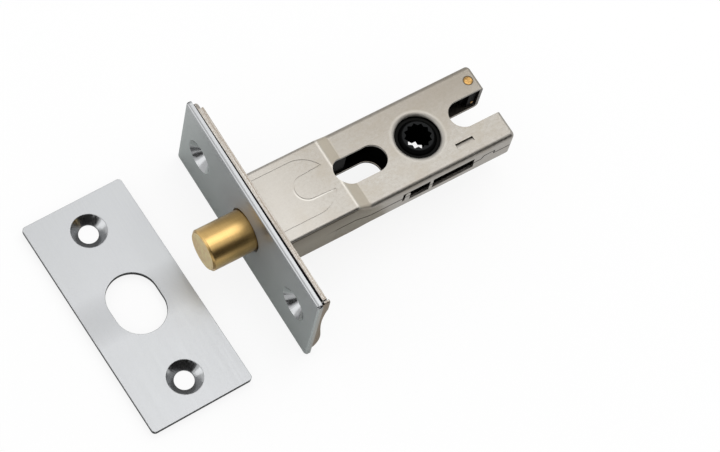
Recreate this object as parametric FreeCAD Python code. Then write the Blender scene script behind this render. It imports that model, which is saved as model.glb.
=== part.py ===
import FreeCAD, Part
import math
import os

# Privacy bolt for an inside door: a tubular case with a brass bolt, a black
# twelve-point spindle hub and a folded faceplate, with its loose strike plate.
#
# Frame: +X runs along the bolt into the door, +Y along the faceplate, +Z out of
# the wide face of the case. The origin is the centre of the faceplate's front.
# All sizes are in millimetres.

V = FreeCAD.Vector
X_AXIS = V(1, 0, 0)
Y_AXIS = V(0, 1, 0)
Z_AXIS = V(0, 0, 1)
ORIGIN = V(0, 0, 0)

# Clearances
running_gap = 0.07        # radial gap of a turning or sliding round fit
seat_gap = 0.05           # gap where one fixed piece drops into another
seam_gap = 0.16           # open joint between the two shells
slide_gap = 0.15          # gap between the carriage and the case
working_gap = 0.35        # gap left for a pin that swings in a straight fork
overrun = 1.0             # how far a cutter runs past the face it cuts
tolerance = 1e-6          # for finding faces and edges by their place

# Faceplate: a thin satin tray that hides the forend
faceplate_length = 58.6
faceplate_width = 27.0
faceplate_sheet = 0.7
faceplate_flange = 1.3    # free edge of the flanges, from the front plane
faceplate_bend = 0.9
faceplate_front_bend = 0.72
corner_relief_radius = 0.32

# Forend: the load-bearing tray behind it
forend_sheet = 0.7
forend_side_gap = 0.5     # from the forend's long edge to the faceplate's inside
forend_side_depth = 3.35  # free edge of the long flanges, from the front plane
forend_end_depth = 3.3    # free edge of the end flanges, between ear and bump
forend_ear_rise = 0.4
forend_ear_width = 4.2    # the raised ear at one end of each end flange
forend_ear_slope = 1.5
forend_bump_from_end = 5.8
forend_bump_half = 2.6
forend_bump_rise = 0.35
forend_taper = 1.9        # where the shears ran off the other end
forend_taper_drop = 1.2
forend_corner_slit = 0.25
forend_corner_radius = 0.4
forend_bend = 1.0         # outer radius of the fold, so the front edges fall away
forend_dimple_gap = 0.2   # round the backs of the faceplate's countersinks

# Countersunk screw holes, the same in the faceplate and in the strike plate
screw_end_distance = 8.2  # from a screw to the end of the faceplate
screw_head_radius = 4.35
screw_hole_radius = 2.4
screw_land = 0.3          # straight part of the hole behind the countersink

# Bolt and its travel
bolt_radius = 5.2
bolt_projection = 11.5
bolt_throw = 11.5
bolt_length = 18.0
bolt_nose_chamfer = 0.5
bolt_spigot_radius = 3.0
bolt_spigot_length = 4.0
bolt_window_gap = 0.4     # radial gap of the bolt in the faceplate

# Case: two pressed half shells, deep round the bolt and shallow behind it
case_sheet = 0.8
front_half_width = 10.1
front_half_height = 6.2
rear_half_width = 10.6
rear_half_height = 4.7
front_corner_radius = 0.9
rear_corner_radius = 1.3
rear_end_bend = 1.1       # outer radius of the fold into the rear wall
least_bend = 0.3          # the tightest bend the sheet takes on its inside
ramp_start = 23.8
ramp_end = 27.3
ramp_crease = 1.4         # radius of the creases at both ends of the ramp
crease_steps = 4          # sections that draw each crease
case_end = 67.2

# Openings through the case
slot_radius = 3.6         # half the width of the oblong slot and the rear notch
slot_front = 23.3
slot_back = 37.4
notch_depth = 8.1         # from the case's end to the centre of the notch's round end
hub_x = 46.4
collar_radius = 5.35
collar_roll = 1.3

# Side seam between the shells, with its hooks and two windows
full_wall_end = 18.5      # the top shell's side walls are full height up to here
seam_level = 0.3
window_floor = -1.8
window_top = 2.3
hook_gap_floor = -1.4
hook_notch = 36.2
hook_front = 36.9
hook_back = 38.3
hook_crown_gap = 0.4      # over the hook's rounded top
post_front = 43.7
post_back = 44.6
window_end = 56.0
step_length = 2.1         # level seam between the windows and the lower shell's key
key_slope = 0.7           # run of the key's slanted front
key_length = 3.0
key_level = 1.5

# Lanced louvre beside the hub, and the coined fork on the front of the top shell
louvre_front = 52.9
louvre_length = 4.8
louvre_y = -6.6
louvre_width = 1.2
louvre_end_gap = 0.12
louvre_drop = 0.45
fork_groove = 0.26        # width of the coined line
fork_depth = 0.12
fork_centre_y = 0.35
fork_half_width = 7.3
fork_throat_radius = 3.1
fork_throat_x = 16.0
fork_shoulder_x = 15.8
fork_tip_x = 21.6
fork_tip_flat = 0.3       # from the throat's edge to the tip of a tine
fork_bulge = 0.88         # where a tine's back bends, as a share of the half width

# Lugs that tie the shells to the forend
lug_width = 5.0
lug_centre_y = 5.6

# Spindle hub and its follower
socket_square = 4.8
socket_squares = 3
hub_radius = 4.55
hub_half_height = 4.7
hub_shoulder = 3.6        # above here the hub tapers to its nose
hub_nose_radius = 3.75
hub_key_width = 1.4
hub_key_rise = 0.5
bush_half_top = 3.6
follower_radius = 5.9
follower_half_height = 3.0
crank_half_thickness = 1.2
crank_pin_radius = 0.8
crank_tip_wall = 0.65
crank_root_half_width = 2.4
crank_turn = 225.0        # direction of the crank at rest, from +X towards +Y

# Carriage: the black frame that ties the bolt to the crank
head_length = 4.7
head_half_height = 4.6
arm_half_height = 3.7
arm_slot_gap = 0.5        # gap between an arm and the edge of the oblong slot
arm_neck_x = 29.5
arm_neck_length = 2.0
arm_neck_inner = 6.5
arm_ramp_gap = 0.8        # from the case's ramp to where an arm widens
arm_crank_gap = 0.4       # from the end of an arm to the crank's tip
fork_root = 1.0           # length of the plates inside the arm
fork_plate_inner = 6.15   # the fork's tips stay clear of the follower
fork_plate_gap = 1.4      # half the gap between the fork's plates
fork_plate_top = 3.15      # under the collar's rim and the louvre's tongue
crank_relief = 4.5        # how far the gap between the plates runs into the arm
fork_prong = 1.6
fork_web = 0.45
cross_pin_radius = 1.0

# Drag spring in the carriage's upper arm
spring_thickness = 0.3
spring_width = 4.4
spring_front = 13.5
spring_length = 12.0
spring_pocket = 0.9

# Spacer and rivet in the upper prong of the case
rivet_from_end = 2.4
rivet_y = 6.8
rivet_radius = 1.1
rivet_dome = 0.12
spacer_boss_wall = 0.8    # from the rivet to the block's front
spacer_nose_length = 2.0
spacer_nose_y = 4.2
spacer_pin_radius = 0.4
spacer_pin_from_end = 1.7
spacer_pin_z = -2.4
spacer_pin_length = 1.2

# Strike plate, lying in front of the bolt with its face up
strike_width = 26.6
strike_sheet = 1.2
strike_corner_radius = 1.0
strike_centre_x = -28.0
strike_turn = 1.5         # degrees that the loose plate lies out of line
strike_hole_radius = 6.3
strike_hole_straight = 1.6

# Sizes that follow from those above
forend_front = faceplate_sheet
forend_back = forend_front + forend_sheet
forend_length = faceplate_length - 2 * (faceplate_sheet + seat_gap)
forend_width = faceplate_width - 2 * (faceplate_sheet + forend_side_gap)
screw_spacing = faceplate_length - 2 * screw_end_distance
strike_length = faceplate_length
crank_radius = bolt_throw / math.sqrt(2)
notch_centre = case_end - notch_depth
louvre_back = louvre_front + louvre_length
rivet_x = case_end - rivet_from_end
crank_pin_x = hub_x - crank_radius / math.sqrt(2)
crank_pin_y = -crank_radius / math.sqrt(2)
step_back = window_end + step_length
key_front = step_back + key_slope
key_back = key_front + key_length
ramp_angle = math.atan2(front_half_height - rear_half_height, ramp_end - ramp_start)
front_inner_half_width = front_half_width - case_sheet
rear_inner_half_width = rear_half_width - case_sheet
rear_inner_half_height = rear_half_height - case_sheet
bolt_shoulder = bolt_length - bolt_projection
head_back = bolt_shoulder + head_length
countersink_depth = screw_head_radius - screw_hole_radius
strike_top = -faceplate_width / 2 + countersink_depth + screw_land
far = 100.0


def block(x0, x1, y0, y1, z0, z1):
    """A box between two corners."""
    return Part.makeBox(x1 - x0, y1 - y0, z1 - z0, V(x0, y0, z0))


def slab(x0, x1, half_y, half_z):
    """A box centred on the bolt's axis."""
    return block(x0, x1, -half_y, half_y, -half_z, half_z)


def post(x, y, radius, z0, z1):
    """A round post along Z."""
    return Part.makeCylinder(radius, z1 - z0, V(x, y, z0), Z_AXIS)


def plate_from(points, z0, z1):
    """A flat plate whose outline is a closed run of straight edges."""
    corners = [V(x, y, z0) for x, y in points]
    face = Part.Face(Part.makePolygon(corners + corners[:1]))
    return face.extrude(V(0, 0, z1 - z0))


def obround(x0, x1, radius, z0, z1):
    """A slot along X that runs from x0 to x1 over its round ends."""
    body = block(x0 + radius, x1 - radius, -radius, radius, z0, z1)
    ends = [post(x, 0, radius, z0, z1) for x in (x0 + radius, x1 - radius)]
    return body.fuse(ends).removeSplitter()


def mirrored_y(shape):
    return shape.mirror(ORIGIN, Y_AXIS)


def mirrored_z(shape):
    return shape.mirror(ORIGIN, Z_AXIS)


def edges_along(shape, axis, keep=lambda middle: True):
    """The straight edges along an axis whose middle passes the test."""
    found = []
    for edge in shape.Edges:
        if edge.Curve.TypeId != "Part::GeomLine":
            continue
        if edge.tangentAt(edge.FirstParameter).cross(axis).Length > tolerance:
            continue
        if keep(edge.CenterOfMass):
            found.append(edge)
    return found


def countersunk(sheet, normal, face_point):
    """A countersink pressed into sheet: the cone to add and the hole to cut.

    The cone's wall keeps the sheet's thickness, so its back stands out as a
    dimple. The normal points into the sheet from its face.
    """
    flank = sheet * math.sqrt(2)
    dimple_back = countersink_depth + screw_land
    cone = Part.makeCone(
        screw_head_radius + flank - sheet, screw_hole_radius + flank,
        countersink_depth - sheet, face_point + normal * sheet, normal)
    neck = Part.makeCylinder(screw_hole_radius + sheet, dimple_back - sheet,
                             face_point + normal * sheet, normal)
    cut = Part.makeCone(
        screw_head_radius, screw_hole_radius, countersink_depth, face_point, normal)
    bore = Part.makeCylinder(screw_hole_radius, 2 * dimple_back, face_point, normal)
    return cone.fuse(neck), cut.fuse(bore)


def with_screw_holes(plate, sheet, normal, centre):
    """The plate with its two pressed countersinks."""
    for side in (1, -1):
        point = centre + Y_AXIS * (side * screw_spacing / 2)
        add, cut = countersunk(sheet, normal, point)
        plate = plate.fuse(add).cut(cut)
    return plate.removeSplitter()


def make_faceplate():
    """The satin tray, folded back on all four sides, with its corner reliefs."""
    half_l, half_w = faceplate_length / 2, faceplate_width / 2
    tray = slab(0, faceplate_flange, half_l, half_w)
    corners = edges_along(tray, X_AXIS)
    tray = tray.makeFillet(faceplate_bend, corners)
    front = [e for e in tray.Edges if e.CenterOfMass.x < tolerance]
    tray = tray.makeFillet(faceplate_front_bend, front)
    hollow = slab(faceplate_sheet, far, half_l - faceplate_sheet, half_w - faceplate_sheet)
    tray = tray.cut(hollow)
    for sy in (1, -1):
        for sz in (1, -1):
            point = V(0, sy * (half_l - faceplate_bend / 2), sz * (half_w - faceplate_bend / 2))
            tray = tray.cut(Part.makeCylinder(corner_relief_radius, faceplate_bend, point, X_AXIS))
    tray = with_screw_holes(tray, faceplate_sheet, X_AXIS, ORIGIN)
    bolt_window = Part.makeCylinder(bolt_radius + bolt_window_gap, far, V(-overrun, 0, 0), X_AXIS)
    return tray.cut(bolt_window)


def forend_end_trim():
    """What the shears took off the lower end flange: the space past its wavy edge."""
    half_w = forend_width / 2
    past = half_w + overrun
    low, high = forend_end_depth, forend_end_depth + forend_ear_rise
    ear_foot = half_w - forend_ear_width
    bump_z = forend_bump_from_end - half_w
    taper_end = low - forend_taper_drop
    wave = [V(high, 0, past), V(high, 0, ear_foot), V(low, 0, ear_foot - forend_ear_slope),
            V(low, 0, bump_z + forend_bump_half), V(low + forend_bump_rise, 0, bump_z),
            V(low, 0, forend_taper - half_w), V(taper_end, 0, -half_w)]
    curve = Part.BSplineCurve()
    curve.interpolate(wave)
    rest = Part.makePolygon(
        [wave[-1], V(taper_end, 0, -past), V(far, 0, -past), V(far, 0, past), wave[0]])
    face = Part.Face(Part.Wire([curve.toShape()] + rest.Edges))
    face.translate(V(0, -forend_length / 2 - overrun, 0))
    return face.extrude(V(0, forend_sheet + 2 * overrun, 0))


def make_forend():
    """The inner tray: flanges folded back, slit corners and sheared end ears.

    The blank is the same turned half round, so the upper end flange has its ear
    and its taper the other way up.
    """
    half_l, half_w = forend_length / 2, forend_width / 2
    tray = slab(forend_front, forend_end_depth + forend_ear_rise, half_l, half_w)
    front = [e for e in tray.Edges if e.CenterOfMass.x < forend_front + tolerance]
    tray = tray.makeFillet(forend_bend, front)
    tray = tray.makeFillet(forend_corner_radius, edges_along(tray, X_AXIS))
    tray = tray.cut(slab(forend_back, far, half_l - forend_sheet, half_w - forend_sheet))
    flange_end = half_l - forend_sheet - forend_corner_slit
    tray = tray.cut(slab(forend_side_depth, far, half_l - forend_sheet, far))
    for side in (1, -1):
        y0, y1 = sorted((side * flange_end, side * (flange_end + forend_corner_slit)))
        tray = tray.cut(block(forend_back + seat_gap, far, y0, y1, -far, far))
        trim = forend_end_trim()
        if side > 0:
            trim.rotate(ORIGIN, X_AXIS, 180)
        tray = tray.cut(trim)
        screw_clearance = Part.makeCylinder(
            screw_head_radius + faceplate_sheet / 2 + forend_dimple_gap, far,
            V(0, side * screw_spacing / 2, 0), X_AXIS)
        tray = tray.cut(screw_clearance)
    tray = tray.cut(Part.makeCylinder(bolt_radius + running_gap, far, ORIGIN, X_AXIS))
    for lug in shell_lugs(seat_gap):
        tray = tray.cut(lug)
    return tray.removeSplitter()


def shell_lugs(grow):
    """The lugs on one shell's front edge, or with a gap the slots that take them."""
    lugs = []
    for flip in (1, -1):
        for side in (1, -1):
            z0, z1 = sorted((flip * (front_half_height - case_sheet - grow),
                             flip * (front_half_height + grow)))
            y = side * lug_centre_y
            lugs.append(block(forend_front + (0 if grow else seat_gap), forend_back + case_sheet,
                              y - lug_width / 2 - grow, y + lug_width / 2 + grow, z0, z1))
    return lugs


def case_section(x, half_y, half_z, radius):
    """A rounded rectangle across the case, taken from the end of a bar."""
    bar = slab(x, far, half_y, half_z)
    bar = bar.makeFillet(radius, edges_along(bar, X_AXIS))
    return min(bar.Faces, key=lambda f: f.CenterOfMass.x).OuterWire


def ramp_stations(inset):
    """Places down the ramp as (x, share of the drop), with a rounded crease at each end.

    A crease is an arc that turns from level into the slope. The first bulges
    outwards, so inside the sheet it is tighter, and the last is the other way.
    """
    drop = front_half_height - rear_half_height
    angles = [ramp_angle * step / crease_steps for step in range(crease_steps + 1)]
    reach = ramp_crease * math.tan(ramp_angle / 2)
    start, end = ramp_start - reach, ramp_end + reach
    top_r, foot_r = ramp_crease - inset, ramp_crease + inset
    top = [(start + top_r * math.sin(a), top_r * (1 - math.cos(a))) for a in angles]
    foot = [(end - foot_r * math.sin(a), drop - foot_r * (1 - math.cos(a)))
            for a in reversed(angles)]
    return [(x, fall / drop) for x, fall in top + foot]


def case_form(inset, back):
    """The case's outer form, or its inside when inset by the sheet."""
    stations = [(forend_back, 0)] + ramp_stations(inset) + [(back, 1)]
    wires = []
    for x, share in stations:
        half_y = front_half_width + share * (rear_half_width - front_half_width)
        half_z = front_half_height + share * (rear_half_height - front_half_height)
        bend = front_corner_radius + share * (rear_corner_radius - front_corner_radius)
        wires.append(case_section(x, half_y - inset, half_z - inset, max(bend - inset, least_bend)))
    form = Part.makeLoft(wires, True, True)
    rear = [e for e in form.Edges if e.CenterOfMass.x > back - tolerance]
    return form.makeFillet(rear_end_bend - inset, rear)


def rolled_collar(flip):
    """The drawn rim of the hub's hole: sheet rolled inwards on a quarter circle."""
    top = rear_half_height
    roll_r = collar_radius + collar_roll
    mid = math.sqrt(0.5)
    outer = Part.Arc(V(roll_r, 0, top),
                     V(roll_r - collar_roll * mid, 0, top - collar_roll * (1 - mid)),
                     V(collar_radius, 0, top - collar_roll)).toShape()
    under = Part.makeLine(V(collar_radius + case_sheet, 0, top - collar_roll),
                          V(roll_r, 0, top - case_sheet))
    lip = Part.makeLine(V(collar_radius, 0, top - collar_roll),
                        V(collar_radius + case_sheet, 0, top - collar_roll))
    outside = Part.makeLine(V(roll_r, 0, top - case_sheet), V(roll_r, 0, top))
    face = Part.Face(Part.Wire([outer, lip, under, outside]))
    ring = face.revolve(ORIGIN, Z_AXIS, 360)
    ring.translate(V(hub_x, 0, 0))
    return ring if flip > 0 else mirrored_z(ring)


def case_openings():
    """What both shells lose: the oblong slot, the rear notch, hub and rivet holes."""
    slot = obround(slot_front, slot_back, slot_radius, -far, far)
    notch = post(notch_centre, 0, slot_radius, -far, far)
    notch = notch.fuse(block(notch_centre, far, -slot_radius, slot_radius, -far, far))
    hub_hole = post(hub_x, 0, collar_radius + collar_roll, -far, far)
    rivet_hole = post(rivet_x, rivet_y, rivet_radius, -far, far)
    return [slot, notch, hub_hole, rivet_hole]


def side_prism(points):
    """A cutter right across the case, from an outline in X and Z."""
    corners = [V(x, -far, z) for x, z in points]
    face = Part.Face(Part.makePolygon(corners + corners[:1]))
    return face.extrude(V(0, 2 * far, 0))


def seam_space():
    """Everything below the top shell's lower edge."""
    return side_prism([
        (full_wall_end, -far), (full_wall_end, seam_level), (hook_notch, seam_level),
        (hook_notch, window_top), (window_end, window_top), (window_end, seam_level),
        (step_back, seam_level), (key_front, key_level), (key_back, key_level),
        (key_back, seam_level), (far, seam_level), (far, -far)])


def lower_wall_space():
    """Everything below the bottom shell's upper edge, with its hook and post."""
    gap = seam_gap
    low = side_prism([
        (full_wall_end + seat_gap, -far), (full_wall_end + seat_gap, seam_level - gap),
        (hook_notch, seam_level - gap), (hook_notch, hook_gap_floor),
        (hook_back, hook_gap_floor), (hook_back, window_floor),
        (post_front, window_floor), (post_front, window_top - seat_gap),
        (post_back, window_top - seat_gap), (post_back, window_floor),
        (window_end + gap, window_floor), (window_end + gap, seam_level - gap),
        (step_back + gap, seam_level - gap), (key_front + gap, key_level - gap),
        (key_back - gap, key_level - gap), (key_back - gap, seam_level - gap),
        (far, seam_level - gap), (far, -far)])
    hook_r = (hook_back - hook_front) / 2
    hook_x = (hook_back + hook_front) / 2
    hook_top = window_top - hook_crown_gap - hook_r
    hook = block(hook_front, hook_back, -far, far, window_floor, hook_top)
    nose = Part.makeCylinder(hook_r, 2 * far, V(hook_x, -far, hook_top), Y_AXIS)
    return low.fuse([hook, nose])


def floor_space(gap):
    """Where the bottom shell's floor lies between the top shell's full walls."""
    half = front_inner_half_width - gap
    return block(forend_back, full_wall_end + gap, -half, half, -far, 0)


def case_shell():
    """Both shells as one closed pressing, with every opening cut."""
    shell = case_form(0, case_end).cut(case_form(case_sheet, case_end - case_sheet))
    front_open = slab(0, forend_back + case_sheet, front_inner_half_width,
                      front_half_height - case_sheet)
    shell = shell.cut(front_open)
    for opening in case_openings():
        shell = shell.cut(opening)
    return shell


def fork_outline():
    """The coined fork's outline: two tines that guide the bolt, and their throat.

    It starts in front of the shell, so that the line runs out under the forend.
    """
    level = front_half_height - fork_depth
    yc, half, throat = fork_centre_y, fork_half_width, fork_throat_radius
    start = -overrun
    tip_up, tip_down = yc + throat + fork_tip_flat, yc - throat - fork_tip_flat
    bend_x = (fork_shoulder_x + fork_tip_x) / 2
    bend_rise = half * fork_bulge

    def line(a, b):
        return Part.makeLine(V(a[0], a[1], level), V(b[0], b[1], level))

    def arc(a, b, c):
        return Part.Arc(V(a[0], a[1], level), V(b[0], b[1], level), V(c[0], c[1], level)).toShape()

    return Part.Wire([
        line((start, yc - half), (start, yc + half)),
        line((start, yc + half), (fork_shoulder_x, yc + half)),
        arc((fork_shoulder_x, yc + half), (bend_x, yc + bend_rise), (fork_tip_x, tip_up)),
        line((fork_tip_x, tip_up), (fork_throat_x, yc + throat)),
        arc((fork_throat_x, yc + throat), (fork_throat_x - throat, yc),
            (fork_throat_x, yc - throat)),
        line((fork_throat_x, yc - throat), (fork_tip_x, tip_down)),
        arc((fork_tip_x, tip_down), (bend_x, yc - bend_rise), (fork_shoulder_x, yc - half)),
        line((fork_shoulder_x, yc - half), (start, yc - half))])


def fork_line():
    """The narrow line coined round the fork: what lies between two offset outlines."""
    whole = Part.Face(fork_outline())
    outer = whole.makeOffset2D(fork_groove / 2)
    inner = whole.makeOffset2D(-fork_groove / 2)
    return outer.cut(inner).extrude(V(0, 0, fork_depth + overrun))


def louvre():
    """The lanced louvre: the hole it leaves and the tongue pressed inwards."""
    top, under = rear_half_height, rear_inner_half_height
    y0, y1 = louvre_y - louvre_width / 2, louvre_y + louvre_width / 2
    hole = block(louvre_front, louvre_back, y0, y1, under - overrun, top + overrun)
    tongue_edge = y1 - louvre_end_gap
    x0 = louvre_front + louvre_end_gap
    profile = [V(x0, y0, top), V(x0, tongue_edge, top - louvre_drop),
               V(x0, tongue_edge, under - louvre_drop), V(x0, y0, under)]
    face = Part.Face(Part.makePolygon(profile + profile[:1]))
    return hole, face.extrude(V(louvre_back - louvre_front - 2 * louvre_end_gap, 0, 0))


def make_case_top(shell):
    """The upper shell: full side walls at the front, collar, fork and louvre."""
    top = shell.cut(seam_space()).cut(floor_space(0))
    top = top.fuse(rolled_collar(1))
    hole, tongue = louvre()
    top = top.cut(hole).fuse(tongue)
    top = top.fuse([lug for lug in shell_lugs(0) if lug.CenterOfMass.z > 0])
    return top.cut(fork_line()).removeSplitter()


def make_case_bottom(shell):
    """The lower shell: hooked side walls behind, a plain floor at the front."""
    bottom = shell.common(lower_wall_space().fuse(floor_space(seat_gap)))
    bottom = bottom.fuse(rolled_collar(-1))
    bottom = bottom.fuse([lug for lug in shell_lugs(0) if lug.CenterOfMass.z < 0])
    return bottom.removeSplitter()


def make_bolt():
    """The turned brass bolt: chamfered nose, plain barrel and a pinned spigot."""
    nose = -bolt_projection
    tail = bolt_shoulder + bolt_spigot_length
    profile = [V(nose, 0, 0), V(nose, bolt_radius - bolt_nose_chamfer, 0),
               V(nose + bolt_nose_chamfer, bolt_radius, 0), V(bolt_shoulder, bolt_radius, 0),
               V(bolt_shoulder, bolt_spigot_radius, 0), V(tail, bolt_spigot_radius, 0),
               V(tail, 0, 0)]
    face = Part.Face(Part.makePolygon(profile + profile[:1]))
    return face.revolve(ORIGIN, X_AXIS, 360).cut(cross_pin(0))


def cross_pin(clearance):
    """The pin through the carriage's head and the bolt's spigot."""
    x = bolt_shoulder + bolt_spigot_length / 2
    return post(x, 0, cross_pin_radius + clearance, -head_half_height, head_half_height)


def make_carriage():
    """The black frame: a head on the bolt, two arms beside the slot, a pin fork."""
    inner = slot_radius + arm_slot_gap
    front_outer = front_inner_half_width - slide_gap
    rear_outer = rear_inner_half_width - slide_gap
    arm_end = crank_pin_x - crank_pin_radius - crank_tip_wall - arm_crank_gap
    wide_start = ramp_end + arm_ramp_gap
    outline = [(head_back, inner), (arm_neck_x, inner),
               (arm_neck_x + arm_neck_length, arm_neck_inner), (arm_end, arm_neck_inner),
               (arm_end, rear_outer), (wide_start, rear_outer),
               (wide_start - (rear_outer - front_outer), front_outer), (head_back, front_outer)]
    arm = plate_from(outline, -arm_half_height, arm_half_height)
    head = slab(bolt_shoulder, head_back, front_outer, head_half_height)
    frame = head.fuse([arm, mirrored_y(arm)]).cut(
        Part.makeCylinder(bolt_spigot_radius + seat_gap, bolt_spigot_length + seat_gap,
                          V(bolt_shoulder, 0, 0), X_AXIS))
    frame = frame.cut(cross_pin(0))
    slot_half = crank_pin_radius + working_gap
    plates = block(arm_end - fork_root, crank_pin_x + slot_half + fork_prong,
                   -rear_outer, -fork_plate_inner, -fork_plate_top, fork_plate_top)
    slot_floor = -rear_outer + fork_web + slot_half
    fork_slot = block(crank_pin_x - slot_half, crank_pin_x + slot_half, slot_floor, 0, -far, far)
    fork_slot = fork_slot.fuse(post(crank_pin_x, slot_floor, slot_half, -far, far))
    plates = plates.cut(fork_slot)
    frame = frame.fuse(plates)
    crank_gap = block(arm_end - crank_relief, far, -far, 0, -fork_plate_gap, fork_plate_gap)
    frame = frame.cut(crank_gap)
    pocket = block(spring_front, spring_front + spring_length, front_outer - spring_pocket, far,
                   -spring_width / 2 - slide_gap, spring_width / 2 + slide_gap)
    return frame.cut(pocket).removeSplitter()


def make_drag_spring():
    """The bowed leaf in the upper arm: its ends in the pocket, its crown on the case."""
    floor = front_inner_half_width - slide_gap - spring_pocket
    crown = front_inner_half_width - running_gap
    x0, x1 = spring_front + seat_gap, spring_front + spring_length - seat_gap
    middle = (x0 + x1) / 2
    z0 = -spring_width / 2
    under = Part.Arc(V(x0, floor, z0), V(middle, crown - spring_thickness, z0), V(x1, floor, z0))
    over = Part.Arc(V(x1, floor + spring_thickness, z0), V(middle, crown, z0),
                    V(x0, floor + spring_thickness, z0))
    ends = [Part.makeLine(V(x, floor, z0), V(x, floor + spring_thickness, z0)) for x in (x0, x1)]
    wire = Part.Wire([under.toShape(), ends[1], over.toShape(), ends[0]])
    return Part.Face(wire).extrude(V(0, 0, spring_width))


def hub_key(grow):
    """The key that makes the hub turn its follower."""
    half = hub_key_width / 2 + grow
    return block(hub_x - half, hub_x + half, 0, hub_radius + hub_key_rise + grow,
                 -follower_half_height, follower_half_height)


def make_hub():
    """The black hub: a tapered sleeve with a socket of squares that share a quarter turn."""
    height, shoulder, nose = hub_half_height, hub_shoulder, hub_nose_radius
    profile = [V(0, 0, -height), V(nose, 0, -height), V(hub_radius, 0, -shoulder),
               V(hub_radius, 0, shoulder), V(nose, 0, height), V(0, 0, height)]
    sleeve = Part.Face(Part.makePolygon(profile + profile[:1])).revolve(ORIGIN, Z_AXIS, 360)
    sleeve.translate(V(hub_x, 0, 0))
    sleeve = sleeve.fuse(hub_key(0))
    half = socket_square / 2
    for turn in range(socket_squares):
        square = block(-half, half, -half, half, -far, far)
        square.rotate(ORIGIN, Z_AXIS, turn * 90 / socket_squares)
        square.translate(V(hub_x, 0, 0))
        sleeve = sleeve.cut(square)
    return sleeve.removeSplitter()


def make_bush(flip):
    """A thin bush that carries the hub in a shell's collar."""
    z0, z1 = follower_half_height + seat_gap, bush_half_top
    ring = post(hub_x, 0, collar_radius - seat_gap / 2, z0, z1)
    ring = ring.cut(post(hub_x, 0, hub_radius + running_gap, -far, far))
    return ring if flip > 0 else mirrored_z(ring)


def make_follower():
    """The follower on the hub, with the crank that carries the pin."""
    body = post(hub_x, 0, follower_radius, -follower_half_height, follower_half_height)
    tip = crank_pin_radius + crank_tip_wall
    root = crank_root_half_width
    crank = plate_from([(0, -root), (0, root), (crank_radius, tip), (crank_radius, -tip)],
                       -crank_half_thickness, crank_half_thickness)
    crank = crank.fuse(post(crank_radius, 0, tip, -crank_half_thickness, crank_half_thickness))
    crank.rotate(ORIGIN, Z_AXIS, crank_turn)
    crank.translate(V(hub_x, 0, 0))
    body = body.fuse(crank)
    body = body.cut(post(hub_x, 0, hub_radius, -far, far)).cut(hub_key(0))
    return body.cut(post(crank_pin_x, crank_pin_y, crank_pin_radius, -far, far)).removeSplitter()


def make_crank_pin():
    """The pin through the crank, with an end in each plate of the fork."""
    reach = fork_plate_top - seat_gap
    return post(crank_pin_x, crank_pin_y, crank_pin_radius, -reach, reach)


def make_rear_spacer():
    """The black block round the rivet, with a nose that shows in the rear notch."""
    boss_front = rivet_x - rivet_radius - spacer_boss_wall
    boss_inner = rivet_y - rivet_radius - spacer_boss_wall / 2
    back, outer = case_end - rear_end_bend, rear_inner_half_width - seat_gap
    nose_front = back - spacer_nose_length
    outline = [(boss_front, outer), (boss_front, boss_inner), (nose_front, boss_inner),
               (nose_front, spacer_nose_y), (back, spacer_nose_y), (back, outer)]
    spacer = plate_from(outline, -rear_inner_half_height, rear_inner_half_height)
    outer_edges = edges_along(spacer, X_AXIS, lambda p: p.y > rivet_y)
    spacer = spacer.makeChamfer(rear_corner_radius - case_sheet, outer_edges)
    spacer = spacer.cut(post(rivet_x, rivet_y, rivet_radius, -far, far))
    return spacer.cut(make_spacer_pin())


def make_spacer_pin():
    """The small brass pin in the block's inner face."""
    point = V(case_end - spacer_pin_from_end, spacer_nose_y - rivet_dome, spacer_pin_z)
    return Part.makeCylinder(spacer_pin_radius, spacer_pin_length, point, Y_AXIS)


def make_rear_rivet():
    """The brass rivet through both shells and the block, with low domed heads."""
    shank = post(rivet_x, rivet_y, rivet_radius, -rear_half_height, rear_half_height)
    dome_r = (rivet_radius ** 2 + rivet_dome ** 2) / (2 * rivet_dome)
    ball = Part.makeSphere(dome_r, V(rivet_x, rivet_y, rear_half_height + rivet_dome - dome_r))
    head = ball.common(post(rivet_x, rivet_y, rivet_radius, rear_half_height, far))
    return shank.fuse([head, mirrored_z(head)]).removeSplitter()


def make_strike_plate():
    """The strike plate: pressed countersinks and a slightly long bolt hole."""
    half_w, half_l = strike_width / 2, strike_length / 2
    x = strike_centre_x
    plate = block(x - half_w, x + half_w, -half_l, half_l, strike_top - strike_sheet, strike_top)
    plate = plate.makeFillet(strike_corner_radius, edges_along(plate, Z_AXIS))
    plate = with_screw_holes(plate, strike_sheet, -Z_AXIS, V(x, 0, strike_top))
    reach = strike_hole_radius + strike_hole_straight
    hole = obround(-reach, reach, strike_hole_radius, -far, far)
    hole.rotate(ORIGIN, Z_AXIS, 90)
    hole.translate(V(x, 0, 0))
    plate = plate.cut(hole)
    plate.rotate(V(x, 0, 0), Z_AXIS, strike_turn)
    return plate


def write(name, shape):
    """Writes one node and reports its solids and volume."""
    solids = shape.Solids
    if len(solids) == 1:
        shape = solids[0]
    shape.exportStep(os.path.join("parts", name + ".step"))
    print(f"{name}: {len(solids)} solid, {shape.Volume:.1f} mm3, valid {shape.isValid()}")


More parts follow.
